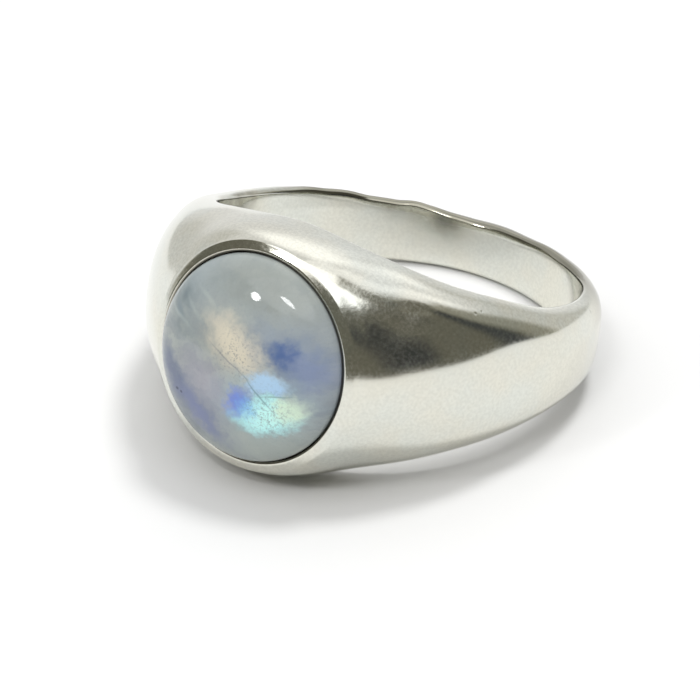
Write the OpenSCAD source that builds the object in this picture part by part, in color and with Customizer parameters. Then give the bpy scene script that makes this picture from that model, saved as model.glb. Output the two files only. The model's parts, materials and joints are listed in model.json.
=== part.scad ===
// Silver ring with one oval moonstone cabochon.
// The ring lies on its side, as it rests on a table by itself: the lower edge of the wide head
// and the lower edge of the narrow back touch the table, so the stone looks a little upwards.
// Millimetres. +Z is up, -Y is the side of the stone. The origin is on the table, under the
// middle of the ring.

/* [Finger hole] */
// Inside diameter of the ring
finger_d = 17.3; // [15:0.1:21]
// Radius that rounds the edges of the finger hole
edge_r = 0.25; // [0.1:0.05:0.4]

/* [Band] */
// Width of the head, along the finger
head_w = 11.7; // [11.4:0.1:14]
// Width of the band at the back of the finger
back_w = 2.6; // [2:0.1:5]
// Thickness of the shoulders beside the stone
shoulder_t = 3; // [2.8:0.1:3.6]
// Thickness of the band at the back of the finger
back_t = 0.9; // [0.8:0.05:1.4]

/* [Stone] */
// Width of the stone across the finger
stone_w = 9.5; // [8:0.1:9.6]
// Length of the stone along the finger, as a share of its width
stone_oval = 1.035; // [1:0.005:1.06]
// Height of the stone's dome above the rim of the bezel
dome_h = 2.2; // [1:0.1:3]
// Bevel round the stone's flat foot
girdle_bevel = 0.2; // [0.1:0.05:0.4]
// Gap between the stone and the silver round it
stone_gap = 0.13; // [0.05:0.01:0.2]

/* [Bezel] */
// Distance from the finger's axis to the rim of the bezel
rim_n = 12; // [11.8:0.1:13]
// Width of the narrow flat rim next to the stone
rim_w = 0.1; // [0.05:0.05:0.3]
// Width of the sloping strip outside the rim
strip_w = 0.33; // [0.3:0.01:0.4]
// Drop of the sloping strip
strip_drop = 0.17; // [0.1:0.01:0.4]
// Height of the bezel's outer wall under the strip, most of it sunk in the head
wall_h = 1.7; // [1.6:0.1:1.9]
// Silver left under the stone, over the finger hole
floor_t = 1.2; // [0.8:0.1:1.5]

/* [Hidden] */

finger_r = finger_d / 2;
seat_r = stone_w / 2 + stone_gap;
floor_n = finger_r + floor_t;
strip_r = seat_r + rim_w + strip_w;
strip_n = rim_n - strip_drop;

// Cross-sections of the band, one every 15 degrees from the stone round to the back.
// width and thickness are shares: 1 is the head's width or the shoulder's thickness, and 0 is
// the back's. The first three sections are thicker, as they rise to the edge of the bezel.
// fullness is the exponent of the outline: 2 is an ellipse, and a higher one is boxier.
WIDTH = 0;
THICKNESS = 1;
FULLNESS = 2;
SECTIONS = [
    // width, thickness, fullness
    [1.00, 1.51, 5.0],
    [0.93, 1.69, 3.2],
    [0.80, 1.45, 2.0],
    [0.64, 1.01, 2.2],
    [0.50, 0.64, 2.3],
    [0.35, 0.42, 2.6],
    [0.24, 0.30, 2.7],
    [0.18, 0.19, 2.9],
    [0.13, 0.07, 3.0],
    [0.07, 0.00, 3.0],
    [0.04, 0.00, 3.1],
    [0.01, 0.00, 3.4],
    [0.00, 0.05, 3.7],
];
LAST = len(SECTIONS) - 1;

// Sections round the band, and steps along one half of a section
ROUND_STEPS = 96;
HALF_STEPS = 11;
// How far the loft reaches into the finger hole, before the hole is cut
INNER_REACH = 0.4;
// Places on the rounded edge, in degrees from the wall of the hole
EDGE_ANGLES = [20, 48, 76];
// Steps round the finger hole
HOLE_STEPS = 144;
// Steps round the oval bezel and stone, and from the stone's edge to its top
OVAL_STEPS = 72;
DOME_STEPS = 9;
// How far a cut reaches past the faces that it opens
overlap = 1;
// How far the bezel's foot is sunk in the head, under the floor of the seat
foot_depth = 0.4;
// How much narrower than the seat the bezel's foot is, on each side
foot_inset = 1;
// First guess of the lean in degrees, and rounds of correction
FIRST_LEAN = 14;
LEAN_ROUNDS = 12;

// A smooth closed curve through evenly spaced values, the same on both sides of the ring.
// It is the cosine series that passes through each row's value.
function end_weight(k) = (k == 0 || k == LAST) ? 0.5 : 1;
function dot(list, i = 0) = i < len(list) ? list[i] + dot(list, i + 1) : 0;
function coefficient(column, k) =
    2 / LAST * end_weight(k)
    * dot([for (j = [0:LAST]) end_weight(j) * SECTIONS[j][column] * cos(180 * j * k / LAST)]);
function coefficients(column) = [for (k = [0:LAST]) coefficient(column, k)];
WIDTH_SERIES = coefficients(WIDTH);
THICKNESS_SERIES = coefficients(THICKNESS);
FULLNESS_SERIES = coefficients(FULLNESS);
function smooth(series, angle) = dot([for (k = [0:LAST]) series[k] * cos(k * angle)]);

// Half width, thickness and fullness of the band at an angle from the stone
function half_width(angle) = (back_w + (head_w - back_w) * smooth(WIDTH_SERIES, angle)) / 2;
function thickness(angle) = back_t + (shoulder_t - back_t) * smooth(THICKNESS_SERIES, angle);
function fullness(angle) = smooth(FULLNESS_SERIES, angle);

// Upper half of a section as [distance outside the finger hole, height], from the hole outwards
function outline_height(u, t, w, p) = w * pow(1 - pow(u / t, p), 1 / p);
function outer_place(step, t, p) = edge_r + (t - edge_r) * pow(sin(90 * step / HALF_STEPS), 2 / p);
function upper_half(t, w, p) = concat(
    [[-INNER_REACH, w - edge_r - INNER_REACH]],
    [for (a = EDGE_ANGLES) [edge_r * (1 - cos(a)), w - edge_r * (1 - sin(a))]],
    [for (i = [0:HALF_STEPS - 1]) let (u = outer_place(i, t, p)) [u, outline_height(u, t, w, p)]]
);
function section(t, w, p) =
    let (upper = upper_half(t, w, p))
    concat(upper, [[t, 0]], [for (i = [len(upper) - 1:-1:0]) [upper[i][0], -upper[i][1]]]);

// The band in its own frame: Z is the finger's axis and -Y points to the stone
function on_ring(point, angle) =
    let (r = finger_r + point[0])
    [r * sin(angle), -r * cos(angle), point[1]];

// How far the ring leans when it lies on its side, from the two places that touch the table:
// the rounded lower edge of the head, and the lowest point of the section at the back.
function reach(t, w, p, lean) =
    let (q = p / (p - 1))
    pow(pow(t * sin(lean), q) + pow(w * cos(lean), q), 1 / q);
function back_reach(lean) = reach(thickness(180), half_width(180), fullness(180), lean);
function lean_from(lean, steps) =
    steps == 0 ? lean :
    lean_from(
        asin(((half_width(0) - edge_r) * cos(lean) + edge_r - back_reach(lean))
            / (finger_d + edge_r)),
        steps - 1
    );
lean = lean_from(FIRST_LEAN, LEAN_ROUNDS);
axis_height = finger_r * sin(lean) + back_reach(lean);

// The stone's dome is the upper half of an ellipsoid that is centred in the plane of the rim
stone_r = stone_w / 2;

// The middle of the whole ring along Y, between the stone's dome and the back of the band
front_y = rim_n * cos(lean) + norm([dome_h * cos(lean), stone_r * stone_oval * sin(lean)]);
back_y = finger_r * cos(lean) + back_reach(90 - lean);
middle_y = (back_y - front_y) / 2;

module laid_on_table() {
    translate([0, -middle_y, axis_height])
        rotate([-lean, 0, 0])
            children();
}

// A solid turned round the stone's axis from a profile of [radius, distance from the finger's axis]
// points, and stretched along the finger. The profile starts and ends on the axis.
module oval_turned(profile) {
    rings = len(profile) - 2;
    last = rings * OVAL_STEPS + 1;
    ring_points = [
        for (k = [1:rings])
            for (i = [0:OVAL_STEPS - 1])
                let (a = 360 * i / OVAL_STEPS, r = profile[k][0])
                [r * cos(a), -profile[k][1], stone_oval * r * sin(a)]
    ];
    points = concat([[0, -profile[0][1], 0]], ring_points, [[0, -profile[rings + 1][1], 0]]);
    foot_faces = [for (i = [0:OVAL_STEPS - 1]) [0, 1 + i, 1 + (i + 1) % OVAL_STEPS]];
    top_faces = [
        for (i = [0:OVAL_STEPS - 1])
            let (start = 1 + (rings - 1) * OVAL_STEPS)
            [last, start + (i + 1) % OVAL_STEPS, start + i]
    ];
    wall_faces = [
        for (k = [0:rings - 2])
            for (i = [0:OVAL_STEPS - 1])
                let (
                    next_i = (i + 1) % OVAL_STEPS,
                    a = 1 + k * OVAL_STEPS + i,
                    b = 1 + k * OVAL_STEPS + next_i,
                    c = b + OVAL_STEPS,
                    d = a + OVAL_STEPS
                )
                each [[a, c, b], [a, d, c]]
    ];
    polyhedron(points, concat(foot_faces, wall_faces, top_faces));
}

module band_loft() {
    rings = [
        for (i = [0:ROUND_STEPS - 1])
            let (angle = 360 * i / ROUND_STEPS)
            [for (q = section(thickness(angle), half_width(angle), fullness(angle))) on_ring(q, angle)]
    ];
    count = len(rings[0]);
    points = [for (ring = rings) each ring];
    faces = [
        for (i = [0:ROUND_STEPS - 1])
            for (j = [0:count - 1])
                let (
                    next_i = (i + 1) % ROUND_STEPS,
                    next_j = (j + 1) % count,
                    a = i * count + j,
                    b = next_i * count + j,
                    c = next_i * count + next_j,
                    d = i * count + next_j
                )
                each [[a, b, c], [a, c, d]]
    ];
    polyhedron(points, faces);
}

module bezel() {
    foot_n = floor_n - foot_depth;
    oval_turned([
        [0, foot_n],
        [seat_r - foot_inset, foot_n],
        [strip_r, strip_n - wall_h],
        [strip_r, strip_n],
        [seat_r + rim_w, rim_n],
        [0, rim_n],
    ]);
}

// Room for the bezel in the top of the head. The bezel fills it up to the strip and the rim.
module bezel_room() {
    room_n = strip_n - wall_h / 2;
    oval_turned([
        [0, room_n],
        [strip_r, room_n],
        [strip_r, rim_n + overlap],
        [0, rim_n + overlap],
    ]);
}

module seat() {
    oval_turned([
        [0, floor_n],
        [seat_r, floor_n],
        [seat_r, rim_n + overlap],
        [0, rim_n + overlap],
    ]);
}

module band() {
    color([0.84, 0.84, 0.80])
        laid_on_table()
            difference() {
                union() {
                    difference() {
                        band_loft();
                        bezel_room();
                    }
                    bezel();
                }
                seat();
                cylinder(r = finger_r, h = head_w + 2 * overlap, center = true, $fn = HOLE_STEPS);
            }
}

module stone() {
    foot_n = floor_n + stone_gap;
    dome = [
        for (i = [0:DOME_STEPS])
            let (a = 90 * i / DOME_STEPS)
            [stone_r * cos(a), rim_n + dome_h * sin(a)]
    ];
    color([0.66, 0.69, 0.76])
        laid_on_table()
            oval_turned(concat(
                [[0, foot_n], [stone_r - girdle_bevel, foot_n], [stone_r, foot_n + girdle_bevel]],
                dome
            ));
}

band();
stone();
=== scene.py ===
"""Silver ring with an oval moonstone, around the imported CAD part.

Lengths are in millimetres in the shape functions, and become metres when a mesh is made.
"""

import json
import math

import bpy
import numpy as np
from mathutils import Matrix, Vector


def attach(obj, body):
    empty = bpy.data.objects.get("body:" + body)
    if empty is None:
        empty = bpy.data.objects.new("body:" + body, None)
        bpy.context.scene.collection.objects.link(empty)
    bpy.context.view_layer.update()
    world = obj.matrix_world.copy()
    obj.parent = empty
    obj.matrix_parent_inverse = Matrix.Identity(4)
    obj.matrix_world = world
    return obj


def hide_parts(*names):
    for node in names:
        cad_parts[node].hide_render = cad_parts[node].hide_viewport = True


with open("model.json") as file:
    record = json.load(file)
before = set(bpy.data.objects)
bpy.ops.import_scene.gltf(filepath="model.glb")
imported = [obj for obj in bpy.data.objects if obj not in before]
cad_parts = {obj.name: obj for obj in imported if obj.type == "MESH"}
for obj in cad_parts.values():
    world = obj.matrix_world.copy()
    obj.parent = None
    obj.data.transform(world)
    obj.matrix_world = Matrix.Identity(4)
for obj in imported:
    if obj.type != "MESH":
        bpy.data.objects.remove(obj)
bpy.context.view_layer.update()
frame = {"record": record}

MM = 0.001

# Place and sizes. Names that end in _R are radii, in _W widths, in _T thicknesses, and in _N
# distances from the finger's axis towards the stone.
HOLE = frame["record"]["mounts"][0]
AXIS_PLACE = Vector(HOLE["pos_m"])
AXIS = Vector(HOLE["axis"]).normalized()
FINGER_R = HOLE["dims"]["r_mm"]

# The radius that rounds the edges of the finger hole, and the sizes of the band
EDGE_R = 0.25
HEAD_W = 11.7
BACK_W = 2.6
SHOULDER_T = 3.0
BACK_T = 0.9
# Width, thickness and fullness of the section, every 15 degrees from the stone to the back
SECTIONS = np.array([
    (1.00, 1.51, 5.0),
    (0.93, 1.69, 3.2),
    (0.80, 1.45, 2.0),
    (0.64, 1.01, 2.2),
    (0.50, 0.64, 2.3),
    (0.35, 0.42, 2.6),
    (0.24, 0.30, 2.7),
    (0.18, 0.19, 2.9),
    (0.13, 0.07, 3.0),
    (0.07, 0.00, 3.0),
    (0.04, 0.00, 3.1),
    (0.01, 0.00, 3.4),
    (0.00, 0.05, 3.7),
])

# The stone, which is longer along the finger than across it, and the gap round it
STONE_R = 4.75
STONE_OVAL = 1.035
DOME_H = 2.2
GIRDLE_BEVEL = 0.2
STONE_GAP = 0.13

# The bezel: a flat rim, a strip that slopes down outside it, and the seat
SEAT_R = STONE_R + STONE_GAP
RIM_N = 12.0
RIM_W = 0.1
STRIP_W = 0.33
STRIP_DROP = 0.17
STRIP_R = SEAT_R + RIM_W + STRIP_W
STRIP_N = RIM_N - STRIP_DROP
UNDER_SEAT_T = 1.2
SEAT_FLOOR_N = FINGER_R + UNDER_SEAT_T
# How far the rim is pushed over towards the stone
LIP = 0.07

# How far round the ring the grid of the head reaches on each side, in degrees
HEAD_REACH = 46
# How far the collar's foot spreads out into the head
FOOT_LENGTH = 1.6
# How far the rounding of the crease round the bezel reaches to each side of it
CREASE_REACH = 0.14
# A slight swelling of the right shoulder: its middle and its direction as x, n, z, how far it
# spreads, how high it is, and how far from the crease it starts
SWELL_PLACE = (5.0, 10.45, 3.81)
SWELL_WAY = (0.618, 0.459, 0.637)
SWELL_REACH = 2.1
SWELL_HEIGHT = 0.11
SWELL_START = 0.8
# The upper edge of the back is worn unevenly: middle and reach in degrees from the stone, and
# height, of the places that stand above the rest
WORN_EDGE = [
    (161, 13, 0.09),
    (177, 12, 0.085),
    (203.5, 9, 0.09),
    (207, 5, 0.05),
    (228, 8, 0.11),
    (238, 10, 0.06),
]


def cosine_series(values):
    """Coefficients of the smooth closed curve through evenly spaced values."""
    last = len(values) - 1
    ends = np.ones(last + 1)
    ends[[0, -1]] = 0.5
    k = np.arange(last + 1)
    return 2 / last * ends * (np.cos(math.pi * np.outer(k, k) / last) @ (ends * values))


WIDTH, THICKNESS, FULLNESS = (cosine_series(column) for column in SECTIONS.T)


def smooth(series, angle):
    return np.cos(np.multiply.outer(angle, np.arange(len(series)))) @ series


def half_width(angle):
    return (BACK_W + (HEAD_W - BACK_W) * smooth(WIDTH, angle)) / 2


def thickness(angle):
    return BACK_T + (SHOULDER_T - BACK_T) * smooth(THICKNESS, angle)


def fullness(angle):
    return smooth(FULLNESS, angle)


def on_ring(angle, out, z):
    """Points at an angle from the stone, out from the finger hole's wall, as x, n, z."""
    r = FINGER_R + out
    return np.stack([r * np.sin(angle), r * np.cos(angle), z + 0 * r], -1)


def edge_turn(angle):
    """Turn in the section at which the outside meets the rounded edge of the hole."""
    k = EDGE_R / thickness(angle)
    p = fullness(angle)
    return np.arctan2((1 - k**p) ** (1 / p), k)


def outside(angle, share):
    """Outer surface, with share from -1 at the lower edge to 1 at the upper edge."""
    turn = share * edge_turn(angle)
    t, w, p = thickness(angle), half_width(angle), fullness(angle)
    c, s = np.cos(turn), np.abs(np.sin(turn))
    r = (c**p + s**p) ** (-1 / p)
    return on_ring(angle, t * r * c, w * r * s * np.sign(turn))


# Rounds of correction when a place on the outside is looked up, and the largest share of the half
# width that the look-up works with
LOOKUP_ROUNDS = 40
LOOKUP_LIMIT = 0.9999


def share_at(x, z):
    """Angle and share of the places on the outside that lie at x and z."""
    angle = np.arcsin(x / (FINGER_R + SHOULDER_T))
    for _ in range(LOOKUP_ROUNDS):
        t, w, p = thickness(angle), half_width(angle), fullness(angle)
        out = t * (1 - np.minimum(np.abs(z) / w, LOOKUP_LIMIT) ** p) ** (1 / p)
        angle = np.arcsin(x / (FINGER_R + out))
    turn = np.arctan2(z / w, out / t)
    return angle, turn / edge_turn(angle)


def to_frame(points):
    """Metres in the row frame for points given as x, n, z in the ring's own frame."""
    points = np.asarray(points, float)
    y_axis = Vector((0, AXIS.z, -AXIS.y))
    axes = np.array([(1, 0, 0), tuple(-y_axis), tuple(AXIS)])
    return points @ axes * MM + np.array(AXIS_PLACE)


def new_object(name, data):
    made = bpy.data.objects.new(name, data)
    bpy.context.scene.collection.objects.link(made)
    return made


# Faces that meet at more than this angle, in degrees, are shaded with a sharp edge
SHARP_ANGLE = 50


def make_piece(name, points, faces, node):
    """Piece from points in the ring's own frame, in the place of one of the CAD part's nodes."""
    mesh = bpy.data.meshes.new(name)
    mesh.from_pydata(to_frame(points).tolist(), [], faces)
    mesh.validate()
    obj = new_object(name, mesh)
    mesh.shade_smooth()
    mesh.set_sharp_from_angle(angle=math.radians(SHARP_ANGLE))
    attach(obj, "root")
    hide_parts(node)
    return obj


def quads_between(a, b):
    """Quads between two closed rings of vertex numbers."""
    return [(a[i], a[i - 1], b[i - 1], b[i]) for i in range(len(a))]


# Band: columns round the finger, rows across the outside, steps of the rounded edge and the wall
# of the hole, and rings of the head
COLUMNS = 360
ROWS = 2 * HEAD_REACH
EDGE_STEPS = 5
WALL_STEPS = 12
HEAD_RINGS = 40
# How strongly the rings of the head crowd towards the bezel: 1 is evenly spaced
RING_CROWDING = 1.4
# The ring of the head at which its slope beside the crease is measured
SLOPE_RING = 3
# Places of the rings across the strip, as shares of its width
STRIP_STEPS = [0.06, 0.13, 0.21, 0.3, 0.42, 0.58, 0.74, 0.88, 0.95]


def hole_rings(top_z):
    """Distance out and height of the rings of the hole, from the upper edge to the lower one."""
    rings = []
    for b in np.radians(np.linspace(0, 90, EDGE_STEPS + 1)):
        rings.append((EDGE_R * (1 - math.sin(b)), top_z - EDGE_R * (1 - math.cos(b))))
    wall_top = rings[-1][1]
    for k in range(1, WALL_STEPS):
        rings.append((0.0, wall_top * (1 - 2 * k / WALL_STEPS)))
    return rings + [(out, -z) for out, z in rings[EDGE_STEPS::-1]]


def head_border():
    """Angle and share along the head's border, once round from its lower right corner."""
    steps = np.linspace(-1, 1, ROWS + 1)[:-1]
    ones = np.ones(ROWS)
    limit = math.radians(HEAD_REACH)
    sides = [
        (limit * ones, steps),
        (-limit * steps, ones),
        (-limit * ones, -steps),
        (limit * steps, -ones),
    ]
    return np.concatenate([np.stack(side, -1) for side in sides])


def head_surface(outer, turn):
    """Rings of the head from the bezel's crease outwards, and how deep the crease is rounded.

    outer is the head's border as head_border gives it, and turn the turns of its points round
    the stone.
    """
    x, z = STRIP_R * np.cos(turn), STONE_OVAL * STRIP_R * np.sin(turn)
    start = np.stack(share_at(x, z), -1)
    spread = (np.arange(HEAD_RINGS) / HEAD_RINGS) ** RING_CROWDING
    places = start + (outer - start) * spread[:, None, None]
    head = outside(places[..., 0], places[..., 1])

    # The collar's foot rises to the outer edge of the strip
    gaps = np.linalg.norm(np.diff(head, axis=0), axis=-1)
    along = np.concatenate([np.zeros((1, len(turn))), np.cumsum(gaps, axis=0)])
    fade = np.clip(1 - along / FOOT_LENGTH, 0, 1) ** 3
    head[..., 1] += fade * (STRIP_N - head[0, :, 1])

    # The crease is rounded by a drop that fades out to each side of it
    fall = (head[0, :, 1] - head[SLOPE_RING, :, 1]) / along[SLOPE_RING]
    crease_drop = (fall - STRIP_DROP / STRIP_W) * CREASE_REACH / 4
    head[..., 1] -= crease_drop * np.clip(1 - along / CREASE_REACH, 0, 1) ** 2

    # The swelling of the shoulder
    away = np.linalg.norm(head - SWELL_PLACE, axis=-1) / SWELL_REACH
    swell = np.clip(1 - away**2, 0, 1) ** 3 * np.clip(along / SWELL_START, 0, 1) ** 2
    head += SWELL_HEIGHT * swell[..., None] * SWELL_WAY
    return head, crease_drop


def bezel_rings():
    """Radius and distance from the finger's axis of the rings from the strip in to the seat."""
    # The rim is rounded over towards the stone, and runs back to the seat's wall under its edge
    inside = SEAT_R - LIP
    strip = [(STRIP_R - k * STRIP_W, STRIP_N + k * STRIP_DROP) for k in STRIP_STEPS]
    rim = [(SEAT_R + RIM_W - 0.02, RIM_N), (SEAT_R + 0.02, RIM_N)]
    lip = [
        (SEAT_R - 0.03, RIM_N - 0.012),
        (inside + 0.01, RIM_N - 0.04),
        (inside, RIM_N - 0.08),
        (inside, RIM_N - 0.14),
    ]
    wall = [(SEAT_R, RIM_N - 0.3), (SEAT_R, RIM_N - 1), (SEAT_R, SEAT_FLOOR_N)]
    return strip + rim + lip + wall + [(SEAT_R / 2, SEAT_FLOOR_N)]


def wear(points):
    """Raise the places of the upper edge of the back that are worn less than the rest."""
    angle = np.arctan2(points[:, 0], points[:, 1]) % (2 * math.pi)
    upper = np.clip(points[:, 2] / half_width(angle), 0, 1) ** 2
    for middle, reach, height in WORN_EDGE:
        away = (np.degrees(angle) - middle) / reach
        points[:, 2] += height * upper * np.clip(1 - away**2, 0, 1) ** 2


def make_band():
    points = []
    faces = []

    def add(new):
        """Numbers of new points."""
        new = np.asarray(new, float).reshape(-1, 3)
        start = len(points)
        points.extend(new.tolist())
        return np.arange(start, start + len(new))

    # The hole's wall and its two rounded edges, as closed rings round the finger
    angles = np.radians(np.arange(COLUMNS) * 360 / COLUMNS)
    top_z = outside(angles, np.ones(COLUMNS))[:, 2]
    rings = [add(on_ring(angles, out, z)) for out, z in hole_rings(top_z)]
    for a, b in zip(rings, rings[1:]):
        faces.extend(quads_between(b, a))
    upper, lower = rings[0], rings[-1]

    # The outside away from the head, as columns from the lower edge to the upper one
    shares = np.linspace(-1, 1, ROWS + 1)[1:-1]
    columns = {}
    for i in range(HEAD_REACH, COLUMNS - HEAD_REACH + 1):
        middle = add(outside(np.full(ROWS - 1, angles[i]), shares))
        columns[i] = [lower[i], *middle, upper[i]]
    for i in range(HEAD_REACH, COLUMNS - HEAD_REACH):
        a, b = columns[i], columns[i + 1]
        faces.extend((a[j], b[j], b[j + 1], a[j + 1]) for j in range(ROWS))

    # The head: rings from the border of its grid in to the crease of the bezel
    reach = range(HEAD_REACH - 1, -HEAD_REACH - 1, -1)
    right = columns[HEAD_REACH]
    left = columns[COLUMNS - HEAD_REACH]
    border = [*right, *(upper[i] for i in reach), *left[-2::-1]]
    border += [lower[i] for i in range(-HEAD_REACH + 1, HEAD_REACH)]
    outer = head_border()
    count = len(outer)
    turn = np.radians(-45 + 360 * np.arange(count) / count)
    head, crease_drop = head_surface(outer, turn)
    head_rings = [add(ring) for ring in head] + [np.array(border)]
    for a, b in zip(head_rings, head_rings[1:]):
        faces.extend(quads_between(a, b))

    # The bezel and the seat
    previous = head_rings[0]
    for r, n in bezel_rings():
        drop = crease_drop * max(1 - (STRIP_R - r) / CREASE_REACH, 0) ** 2
        ring = add(np.stack([r * np.cos(turn), n - drop, STONE_OVAL * r * np.sin(turn)], -1))
        faces.extend(quads_between(ring, previous))
        previous = ring
    centre = add([(0, SEAT_FLOOR_N, 0)])[0]
    faces.extend((centre, previous[i - 1], previous[i]) for i in range(count))

    points = np.array(points)
    wear(points)
    faces = [tuple(int(v) for v in face) for face in faces]
    return make_piece("silver_band", points, faces, "band")


# Stone: steps round it, rings of the dome, and how far under the rim one ring of the girdle lies
STONE_STEPS = 192
DOME_RINGS = 56
GIRDLE_RING_DEPTH = 0.5


def make_stone():
    foot_n = SEAT_FLOOR_N + STONE_GAP
    profile = [
        (STONE_R - GIRDLE_BEVEL, foot_n),
        (STONE_R, foot_n + GIRDLE_BEVEL),
        (STONE_R, RIM_N - GIRDLE_RING_DEPTH),
    ]
    profile += [
        (STONE_R * math.cos(a), RIM_N + DOME_H * math.sin(a))
        for a in np.radians(np.arange(DOME_RINGS) * 90 / DOME_RINGS)
    ]
    turn = np.radians(360 * np.arange(STONE_STEPS) / STONE_STEPS)
    points = [(0, foot_n, 0)]
    rings = []
    for r, n in profile:
        level = np.full(STONE_STEPS, n)
        rings.append(range(len(points), len(points) + STONE_STEPS))
        points += np.stack([r * np.cos(turn), level, STONE_OVAL * r * np.sin(turn)], -1).tolist()
    top = len(points)
    points.append((0, RIM_N + DOME_H, 0))
    faces = [(0, rings[0][i], rings[0][i - 1]) for i in range(STONE_STEPS)]
    for a, b in zip(rings, rings[1:]):
        faces += quads_between(b, a)
    faces += [(top, rings[-1][i - 1], rings[-1][i]) for i in range(STONE_STEPS)]
    return make_piece("moonstone", points, faces, "stone")


band = make_band()
stone = make_stone()


# Materials
class Graph:
    """Short calls that add the nodes of one material or world, and give back their outputs."""

    def __init__(self, owner):
        owner.use_nodes = True
        self.tree = owner.node_tree

    def put(self, socket, value):
        if isinstance(value, bpy.types.NodeSocket):
            self.tree.links.new(value, socket)
        else:
            socket.default_value = value

    def add(self, kind, inputs, **settings):
        made = self.tree.nodes.new(kind)
        for key, value in settings.items():
            setattr(made, key, value)
        for key, value in inputs.items():
            self.put(made.inputs[key], value)
        return made

    def math(self, operation, *values):
        return self.add("ShaderNodeMath", dict(enumerate(values)), operation=operation).outputs[0]

    def times(self, first, second):
        return self.math("MULTIPLY", first, second)

    def length(self, first, second):
        """Length of the vector that has these two parts."""
        squares = [self.math("POWER", part, 2.0) for part in (first, second)]
        return self.math("SQRT", self.math("ADD", *squares))

    def vector(self, operation, *values, out="Vector"):
        made = self.add("ShaderNodeVectorMath", dict(enumerate(values)), operation=operation)
        return made.outputs[out]

    def ramp(self, value, start, end, low=0.0, high=1.0):
        """Smooth change from low to high as value goes from start to end."""
        inputs = {"Value": value, "From Min": start, "From Max": end, "To Min": low, "To Max": high}
        made = self.add("ShaderNodeMapRange", inputs, interpolation_type="SMOOTHSTEP")
        return made.outputs["Result"]

    def mix(self, share, first, second):
        made = self.add("ShaderNodeMixRGB", {"Fac": share, "Color1": first, "Color2": second})
        return made.outputs["Color"]

    def noise(self, place, scale, detail=2.0, out="Fac"):
        inputs = {"Vector": place, "Scale": scale, "Detail": detail}
        return self.add("ShaderNodeTexNoise", inputs).outputs[out]

    def place_mm(self):
        """Place on the piece in millimetres."""
        place = self.add("ShaderNodeTexCoord", {}).outputs["Object"]
        return self.vector("MULTIPLY", place, (1 / MM, 1 / MM, 1 / MM))

    def near(self, place, centre, reach):
        """1 at the centre, falling smoothly to 0 at the reach."""
        return self.ramp(self.vector("DISTANCE", place, centre, out="Value"), 0.0, reach, 1.0, 0.0)


def linear(red, green, blue):
    """Linear colour, with alpha, of an sRGB colour of 0 to 255."""
    return (*(((c / 255 + 0.055) / 1.055) ** 2.4 for c in (red, green, blue)), 1)


def new_material(name):
    material = bpy.data.materials.new(name)
    graph = Graph(material)
    return material, graph, graph.tree.nodes["Principled BSDF"].inputs


def ring_places(graph, place):
    """Places across the finger, out to the stone and along the finger, from the ring's middle."""
    middle = tuple(v / MM for v in AXIS_PLACE)
    place = graph.vector("SUBTRACT", place, middle)
    directions = ((1, 0, 0), (0, -AXIS.z, AXIS.y), tuple(AXIS))
    return [graph.vector("DOT_PRODUCT", place, way, out="Value") for way in directions]


# Soft marks on the silver: place in millimetres in the frame, and how far they reach
BRUSHED = [((5.0, -6.9, 9.7), 2.6), ((6.4, -6.8, 8.2), 2.2)]
# Spots of painted dark reflection on the wall of the finger hole
DARK_REFLECTION_SPOTS = [((-2.3, 10.6, 2.5), 1.4), ((-4.6, 9.6, 3.6), 1.7), ((-8.6, 2.2, 5.9), 3.6)]
STAIN = [((-2.55, 10.65, 2.6), 0.7)]
PITS = [((9.42, 4.63, 4.77), 0.14), ((8.01, -3.03, 8.27), 0.12), ((8.09, -2.65, 8.21), 0.1)]
# Where fine arcs cross the brushed part, their middle, and radians of their wave in one millimetre
ARCS = [((5.55, -6.45, 9.5), 1.3)]
ARC_MIDDLE = (4.6, -7.6, 9.7)
ARC_TURNS = 38.0

# Linear colours of the silver, of what lies on it, and of the painted reflection and shade on it
COOL_SILVER = (0.71, 0.725, 0.67, 1)
WARM_SILVER = (0.73, 0.72, 0.64, 1)
DARK_REFLECTION_TONE = (0.34, 0.33, 0.28, 1)
STAIN_TONE = (0.2, 0.21, 0.2, 1)
PIT_TONE = (0.25, 0.25, 0.22, 1)
TARNISH_AND_SHADE_TONE = (0.26, 0.25, 0.2, 1)
SEAT_SHADE_TONE = (0.3, 0.275, 0.23, 1)

MICROMETRE = 1e-6
# Heights of the finish in micrometres
GRAIN_HEIGHT = 0.35
BRUSHED_HEIGHT = 6.0
ARC_HEIGHT = 0.6
PIT_DEPTH = 6.0


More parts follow.
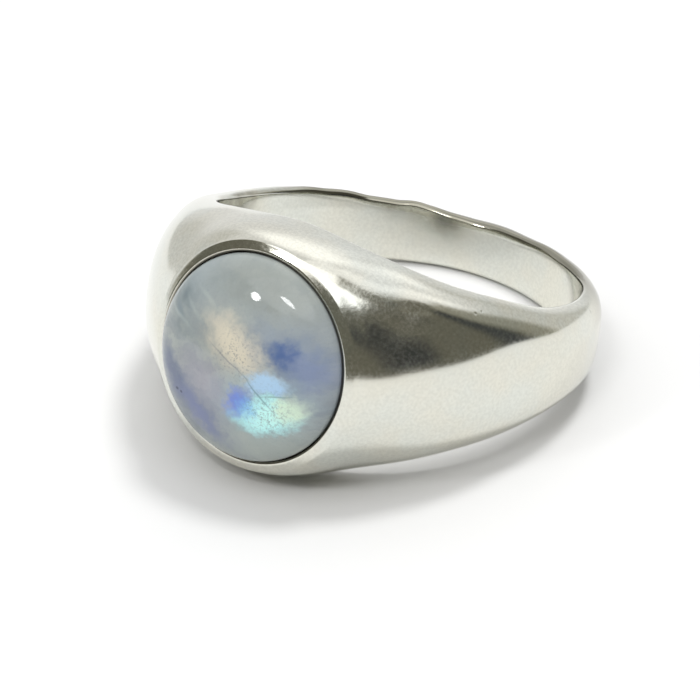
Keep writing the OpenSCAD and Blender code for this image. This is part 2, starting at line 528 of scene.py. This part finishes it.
def make_silver():
    material, graph, shader = new_material("silver")
    place = graph.place_mm()
    across, outward, along = ring_places(graph, place)
    radius = graph.length(across, outward)

    def marks(spots):
        """Strongest of the soft marks at each place."""
        share = 0.0
        for centre, reach in spots:
            share = graph.math("MAXIMUM", share, graph.near(place, centre, reach))
        return share

    brushed = marks(BRUSHED)
    pitted = marks(PITS)
    # Painted dark reflection, in patches, only on the wall of the finger hole
    in_hole = graph.ramp(radius, FINGER_R + 0.02, FINGER_R + 0.3, 1.0, 0.0)
    dark_reflected = graph.times(in_hole, marks(DARK_REFLECTION_SPOTS))

    cloud = graph.noise(place, 0.35, 3.0)
    fine = graph.noise(place, 7.0, 3.0)
    tone = graph.mix(graph.ramp(cloud, 0.35, 0.65), COOL_SILVER, WARM_SILVER)
    tone = graph.vector("MULTIPLY", tone, graph.ramp(fine, 0.3, 0.7, 0.94, 1.05))
    patchy = graph.ramp(graph.noise(place, 0.9), 0.35, 0.6, 0.45, 1.0)
    tone = graph.mix(graph.times(dark_reflected, patchy), tone, DARK_REFLECTION_TONE)
    tone = graph.mix(graph.times(marks(STAIN), 0.8), tone, STAIN_TONE)
    tone = graph.mix(graph.times(pitted, 0.45), tone, PIT_TONE)

    # Tarnish and painted shade on the upper edge of the back
    at_back = graph.ramp(outward, -5.0, -1.5, 0.9, 0.0)
    past_wall = graph.ramp(radius, FINGER_R - 0.02, FINGER_R + 0.04)
    on_edge = graph.times(graph.ramp(along, 0.85, 1.15), past_wall)
    tone = graph.mix(graph.times(at_back, on_edge), tone, TARNISH_AND_SHADE_TONE)

    # Painted shade in the seat round the stone
    from_stone_axis = graph.length(across, graph.math("DIVIDE", along, STONE_OVAL))
    above_floor = graph.ramp(outward, FINGER_R + 0.6, FINGER_R + 1.0)
    within_seat = graph.ramp(from_stone_axis, SEAT_R + 0.01, SEAT_R + 0.05, 1.0, 0.0)
    tone = graph.mix(graph.times(above_floor, within_seat), tone, SEAT_SHADE_TONE)
    graph.put(shader["Base Color"], tone)

    dull = graph.math("ADD", graph.ramp(fine, 0.3, 0.75, 0.1, 0.16), graph.times(brushed, 0.08))
    graph.put(shader["Roughness"], dull)
    shader["Metallic"].default_value = 1

    # The finish: a fine grain everywhere, a coarser one and arcs where it is brushed, and pits
    grain = graph.times(graph.noise(place, 16.0, 2.0), GRAIN_HEIGHT)
    coarse = graph.times(graph.noise(place, 5.0, 3.0), graph.times(brushed, BRUSHED_HEIGHT))
    waver = graph.times(graph.noise(place, 1.5), 0.5)
    from_arc_middle = graph.vector("DISTANCE", place, ARC_MIDDLE, out="Value")
    turns = graph.times(graph.math("ADD", from_arc_middle, waver), ARC_TURNS)
    arcs = graph.times(graph.math("SINE", turns), graph.times(marks(ARCS), ARC_HEIGHT))
    height = graph.math("ADD", graph.math("ADD", grain, coarse), arcs)
    height = graph.math("SUBTRACT", height, graph.times(pitted, PIT_DEPTH))
    bump = graph.add("ShaderNodeBump", {"Height": height, "Distance": MICROMETRE, "Strength": 1.0})
    graph.put(shader["Normal"], bump.outputs["Normal"])
    return material


# Soft patches in the stone, in millimetres: across and along the finger from the middle of the
# stone, half length, half width, turn in degrees, softness of the edge, strength, sRGB colour
PATCHES = [
    # The first patch is partly the stone's own colour and partly painted shade on its upper left
    (-2.2, 2.8, 2.4, 1.7, -40, 0.9, 0.7, (134, 146, 152)),
    (0.6, 3.2, 2.8, 1.0, 5, 0.9, 0.4, (176, 184, 184)),
    (3.0, 2.9, 1.5, 1.2, 0, 0.9, 0.5, (150, 156, 156)),
    (-0.9, -1.2, 1.7, 0.9, -30, 0.9, 0.55, (172, 168, 184)),
    # The next patch is partly the stone's own colour and partly painted light on its lower part
    (1.6, -3.6, 2.6, 1.1, 25, 0.9, 0.7, (172, 181, 176)),
    (4.1, 0.2, 0.9, 1.9, 0, 0.9, 0.5, (146, 154, 168)),
    (0.6, 4.3, 2.8, 1.3, 0, 0.9, 0.7, (134, 139, 134)),
    (-3.4, 2.3, 0.9, 0.6, 60, 0.9, 0.5, (112, 124, 126)),
    (-3.1, -2.1, 1.7, 0.5, -52, 0.9, 0.6, (108, 120, 134)),
    (0.2, 1.0, 2.1, 1.1, -30, 0.8, 0.45, (192, 188, 174)),
    (0.15, 1.1, 1.6, 0.75, -30, 0.7, 0.85, (220, 212, 192)),
    # The next three patches are the stone's painted blue sheen
    (3.0, 1.1, 1.9, 1.0, -28, 0.9, 0.6, (126, 144, 174)),
    (2.5, 1.35, 0.6, 0.5, -20, 0.9, 0.85, (72, 98, 150)),
    (3.8, 0.8, 0.9, 0.5, -25, 0.9, 0.3, (124, 138, 188)),
    (-1.9, -2.35, 2.5, 0.75, -36, 0.9, 0.6, (120, 128, 156)),
    (-1.5, -2.8, 1.4, 0.4, -38, 0.9, 0.5, (108, 118, 170)),
    (-3.2, -1.2, 1.0, 0.45, -55, 0.9, 0.6, (96, 108, 138)),
    # The patches from here to the end are the painted sheen of the flash
    (1.9, -1.3, 1.9, 1.2, 10, 0.9, 0.45, (156, 192, 208)),
    (2.1, -0.3, 0.9, 0.55, 5, 0.55, 0.85, (174, 210, 242)),
    (2.0, -1.8, 1.5, 0.85, 16, 0.45, 0.9, (170, 232, 238)),
    (2.1, -1.8, 1.05, 0.65, 16, 0.8, 0.9, (206, 255, 250)),
    (3.15, -1.2, 0.65, 0.5, 30, 0.8, 0.8, (222, 240, 214)),
    (0.75, -1.45, 0.7, 0.5, 50, 0.8, 0.9, (110, 132, 218)),
    (1.2, -1.65, 0.5, 0.45, 60, 0.9, 0.6, (136, 196, 236)),
]
# Fine veins, cracks and specks, in the same columns
FLAWS = [
    (-3.3, 2.4, 0.35, 0.2, 73, 0.9, 0.6, (98, 112, 118)),
    (-3.4, 1.65, 0.45, 0.14, -42, 0.9, 0.55, (110, 126, 136)),
    (-3.3, 1.4, 0.7, 0.08, -20, 0.9, 0.3, (182, 192, 192)),
    (-1.8, 2.75, 0.7, 0.1, -20, 0.9, 0.22, (182, 190, 188)),
    (-2.5, 2.0, 0.6, 0.09, -35, 0.9, 0.25, (180, 190, 188)),
    (0.03, 0.3, 1.1, 0.035, -27, 0.8, 0.45, (110, 116, 128)),
    (1.67, -0.81, 0.95, 0.035, -42, 0.8, 0.6, (96, 128, 140)),
    (2.55, -0.72, 0.65, 0.035, 14, 0.8, 0.6, (120, 150, 150)),
    (-2.87, -2.08, 0.1, 0.07, 0, 0.6, 0.8, (60, 68, 92)),
    (-2.58, -2.16, 0.07, 0.06, 0, 0.6, 0.8, (60, 68, 92)),
]
# Middle and reach of the cream part and of the flash, where the sheen is painted; both are full of
# fine dark flecks
FLECKED = [((0.4, 0.6, 0), 2.1), ((2.2, -1.7, 0), 2.0)]


def make_moonstone():
    material, graph, shader = new_material("moonstone")
    place = graph.place_mm()
    across, outward, along = ring_places(graph, place)

    # The place across and along the finger, with wide and fine unevenness for the soft patches,
    # and with little for the fine lines
    flat = graph.add("ShaderNodeCombineXYZ", {0: across, 1: along}).outputs[0]
    drift = graph.vector("SUBTRACT", graph.noise(flat, 0.9, 4.0, out="Color"), (0.5, 0.5, 0.5))
    ragged = graph.vector("SUBTRACT", graph.noise(flat, 3.5, 4.0, out="Color"), (0.5, 0.5, 0.5))
    uneven = graph.vector("ADD", flat, graph.vector("MULTIPLY", drift, (1.1, 1.1, 0)))
    uneven = graph.vector("ADD", uneven, graph.vector("MULTIPLY", ragged, (0.7, 0.7, 0)))
    nearly = graph.vector("ADD", flat, graph.vector("MULTIPLY", drift, (0.25, 0.25, 0)))

    def lay(tone, patches, place):
        """The tone with each of the patches laid over it."""
        for u, v, length, width, turn, soft, strength, colour in patches:
            inputs = {
                "Vector": place,
                "Location": (u, v, 0),
                "Rotation": (0, 0, math.radians(turn)),
                "Scale": (length, width, 1),
            }
            inner = graph.add("ShaderNodeMapping", inputs, vector_type="TEXTURE").outputs[0]
            inner = graph.vector("MULTIPLY", inner, (1, 1, 0))
            away = graph.vector("LENGTH", inner, out="Value")
            share = graph.ramp(away, 1 - soft, 1 + soft, strength, 0.0)
            tone = graph.mix(share, tone, linear(*colour))
        return tone

    veil = graph.noise(graph.vector("MULTIPLY", uneven, (1.0, 1.6, 1)), 0.7, 5.0)
    tone = graph.mix(graph.ramp(veil, 0.32, 0.68), linear(141, 149, 151), linear(165, 171, 168))
    tone = lay(tone, PATCHES, uneven)

    # Flecks, fine cracks in the flash, single flaws, and painted shade on the edge of the dome at
    # and under the rim
    in_cream, in_flash = (graph.near(flat, centre, reach) for centre, reach in FLECKED)
    flecks = graph.ramp(graph.noise(place, 9.0, 3.0), 0.5, 0.72, 0.0, 0.6)
    some = graph.math("MAXIMUM", graph.math("MAXIMUM", in_cream, in_flash), 0.15)
    tone = graph.mix(graph.times(flecks, some), tone, linear(112, 118, 128))
    inputs = {"Vector": uneven, "Scale": 2.6}
    cells = graph.add("ShaderNodeTexVoronoi", inputs, feature="DISTANCE_TO_EDGE")
    cracks = graph.ramp(cells.outputs["Distance"], 0.0, 0.06, 0.45, 0.0)
    tone = graph.mix(graph.times(cracks, in_flash), tone, linear(96, 128, 138))
    tone = lay(tone, FLAWS, nearly)
    # Painted shade on the stone's edge at and under the rim
    girdle = graph.ramp(outward, RIM_N - 0.1, RIM_N + 0.03, 0.7, 0.0)
    tone = graph.mix(girdle, tone, linear(80, 76, 70))

    graph.put(shader["Base Color"], tone)
    shader["Roughness"].default_value = 0.05
    shader["Specular IOR Level"].default_value = 0.35
    return material


band.data.materials.append(make_silver())
stone.data.materials.append(make_moonstone())


# Floor, light and camera
def direction(azimuth, elevation):
    """Unit vector. Azimuth 0 is towards -Y and 90 towards +X; elevation is above the floor."""
    a, e = math.radians(azimuth), math.radians(elevation)
    return Vector((math.sin(a) * math.cos(e), -math.cos(a) * math.cos(e), math.sin(e)))


def make_floor(name, corners, height, material):
    mesh = bpy.data.meshes.new(name)
    mesh.from_pydata([(x, y, height) for x, y in corners], [], [(0, 1, 2, 3)])
    mesh.materials.append(material)
    made = new_object(name, mesh)
    return made


# The ring lies on a sheet of paper, which ends a little in front of it and beside it. The wide
# floor round it is as pale, but the silver mirrors the dark room beyond the sheet instead.
PAPER_CORNERS = [(-0.042, -0.16), (0.13, -0.085), (0.13, 0.2), (-0.042, 0.2)]
FLOOR_CORNERS = [(-2, -2), (2, -2), (2, 2), (-2, 2)]
FLOOR_DROP = 0.0001

paper, _, shader = new_material("paper")
shader["Base Color"].default_value = (0.7, 0.7, 0.7, 1)
shader["Roughness"].default_value = 0.9
shader["Specular IOR Level"].default_value = 0.1

make_floor("paper_sheet", PAPER_CORNERS, 0, paper)
floor = make_floor("floor", FLOOR_CORNERS, -FLOOR_DROP, paper)
floor.visible_glossy = False


# The light of the room, and its colours where it is darkest, where it is dim, and elsewhere
ROOM_LIGHT = 0.85
DARKEST_COLOUR = (0.92, 0.98, 1, 1)
DIM_COLOUR = (1, 0.97, 0.78, 1)
BRIGHT_COLOUR = (1, 1, 1, 1)
# Soft-edged boxes of light in the room, each over the ones before it. All angles are in degrees.
ROOM_BOXES = [
    # azimuth, half width, elevation, half height, softness, light
    (-162, 29, 44, 20, 13, 1.4),
    (-112, 15, 4, 22, 7, 0.68),
    (157, 30, 8, 24, 9, 0.65),
    (143, 14, 46, 10, 6, 1.25),
    (150, 27, 72, 16, 5, 1.15),
    (133, 10, 18, 30, 6, 0.32),
    (25, 100, 18, 29, 4, 0.15),
    (121, 5, 20, 28, 4, 0.06),
    (112, 20, 52, 6, 3, 0.15),
    (74, 9, 15, 14, 6, 0.045),
    (26, 73, 72, 27, 2, 1.8),
    (-8, 22, 44, 5, 1.5, 1.8),
    (112, 17, 80, 21, 3, 1.5),
    (92, 12, 43.5, 6, 2.5, 0.12),
]


def make_world():
    world = bpy.data.worlds.new("studio")
    bpy.context.scene.world = world
    graph = Graph(world)
    background = graph.tree.nodes["Background"].inputs
    seen = graph.add("ShaderNodeTexCoord", {}).outputs["Generated"]
    x, y, z = graph.add("ShaderNodeSeparateXYZ", {0: seen}).outputs
    azimuth = graph.math("DEGREES", graph.math("ARCTAN2", x, graph.times(y, -1.0)))
    elevation = graph.math("DEGREES", graph.math("ARCSINE", z))

    def inside(away, half, soft):
        """1 where away is less than half, falling to 0 over a soft edge."""
        return graph.ramp(graph.math("ABSOLUTE", away), half - soft, half + soft, 1.0, 0.0)

    light = ROOM_LIGHT
    for turn, half_turn, height, half_height, soft, strength in ROOM_BOXES:
        away = graph.math("WRAP", graph.math("SUBTRACT", azimuth, turn), 180.0, -180.0)
        above = graph.math("SUBTRACT", elevation, height)
        over = graph.times(inside(away, half_turn, soft), inside(above, half_height, soft))
        change = graph.times(over, graph.math("SUBTRACT", strength, light))
        light = graph.math("ADD", light, change)
    graph.put(background["Strength"], light)
    tone = graph.mix(graph.ramp(light, 0.05, 0.13), DARKEST_COLOUR, DIM_COLOUR)
    tone = graph.mix(graph.ramp(light, 0.1, 0.9), tone, BRIGHT_COLOUR)
    graph.put(background["Color"], tone)


make_world()

# Two lamps that the stone mirrors as its highlights, and a soft one that lights the floor
LAMP_DISTANCE = 0.6
LAMPS = [
    # name, azimuth, elevation, width and height in degrees, roll, watts
    ("lamp_left", -25, 38, 8, 7, -30, 0.5),
    ("lamp_right", 14, 54, 15, 6.5, -14, 0.5),
]
KEY_AZIMUTH = 165
KEY_ELEVATION = 72
KEY_SOFTNESS = 14
KEY_STRENGTH = 1.4


def rolled(turn, degrees):
    """The same view, rolled about its own direction."""
    return turn @ Matrix.Rotation(math.radians(degrees), 3, "Z").to_quaternion()


def make_lamp(name, azimuth, elevation, width, height, roll, watts):
    data = bpy.data.lights.new(name, "AREA")
    data.shape = "ELLIPSE"
    data.size = LAMP_DISTANCE * math.radians(width)
    data.size_y = LAMP_DISTANCE * math.radians(height)
    data.energy = watts
    lamp = new_object(name, data)
    towards = direction(azimuth, elevation)
    lamp.rotation_mode = "QUATERNION"
    lamp.rotation_quaternion = rolled(towards.to_track_quat("Z", "Y"), roll)
    lamp.location = AXIS_PLACE + towards * LAMP_DISTANCE


def make_key():
    """A soft lamp behind the ring that lights the paper, and that no surface mirrors."""
    data = bpy.data.lights.new("key", "SUN")
    data.energy = KEY_STRENGTH
    data.angle = math.radians(KEY_SOFTNESS)
    key = new_object("key", data)
    key.rotation_mode = "QUATERNION"
    key.rotation_quaternion = direction(KEY_AZIMUTH, KEY_ELEVATION).to_track_quat("Z", "Y")
    key.visible_glossy = False


for lamp in LAMPS:
    make_lamp(*lamp)
make_key()

# The camera: where it stands, its roll, and the pixel of the photo at which the middle of the
# finger hole lies
CAMERA_AZIMUTH = 33.1
CAMERA_ELEVATION = 33.0
CAMERA_ROLL = 0.28
CAMERA_DISTANCE = 0.7
PIXELS_PER_MM = 21.555
PHOTO_SIZE = 700
AXIS_PIXEL = (391.8, 296.5)


def make_camera():
    data = bpy.data.cameras.new("camera")
    camera = new_object("camera", data)
    back = direction(CAMERA_AZIMUTH, CAMERA_ELEVATION)
    turn = rolled((-back).to_track_quat("-Z", "Y"), CAMERA_ROLL)
    right, up = turn @ Vector((1, 0, 0)), turn @ Vector((0, 1, 0))
    # How far the middle of the hole lies from the middle of the picture
    off_x = (AXIS_PIXEL[0] - PHOTO_SIZE / 2) / PIXELS_PER_MM * MM
    off_y = (PHOTO_SIZE / 2 - AXIS_PIXEL[1]) / PIXELS_PER_MM * MM
    camera.rotation_mode = "QUATERNION"
    camera.rotation_quaternion = turn
    camera.location = AXIS_PLACE + back * CAMERA_DISTANCE - right * off_x - up * off_y
    data.sensor_width = 36
    data.lens = PIXELS_PER_MM / MM * CAMERA_DISTANCE / PHOTO_SIZE * data.sensor_width
    data.clip_start, data.clip_end = 0.01, 10
    bpy.context.scene.camera = camera


make_camera()
bpy.context.scene.view_settings.view_transform = "Standard"
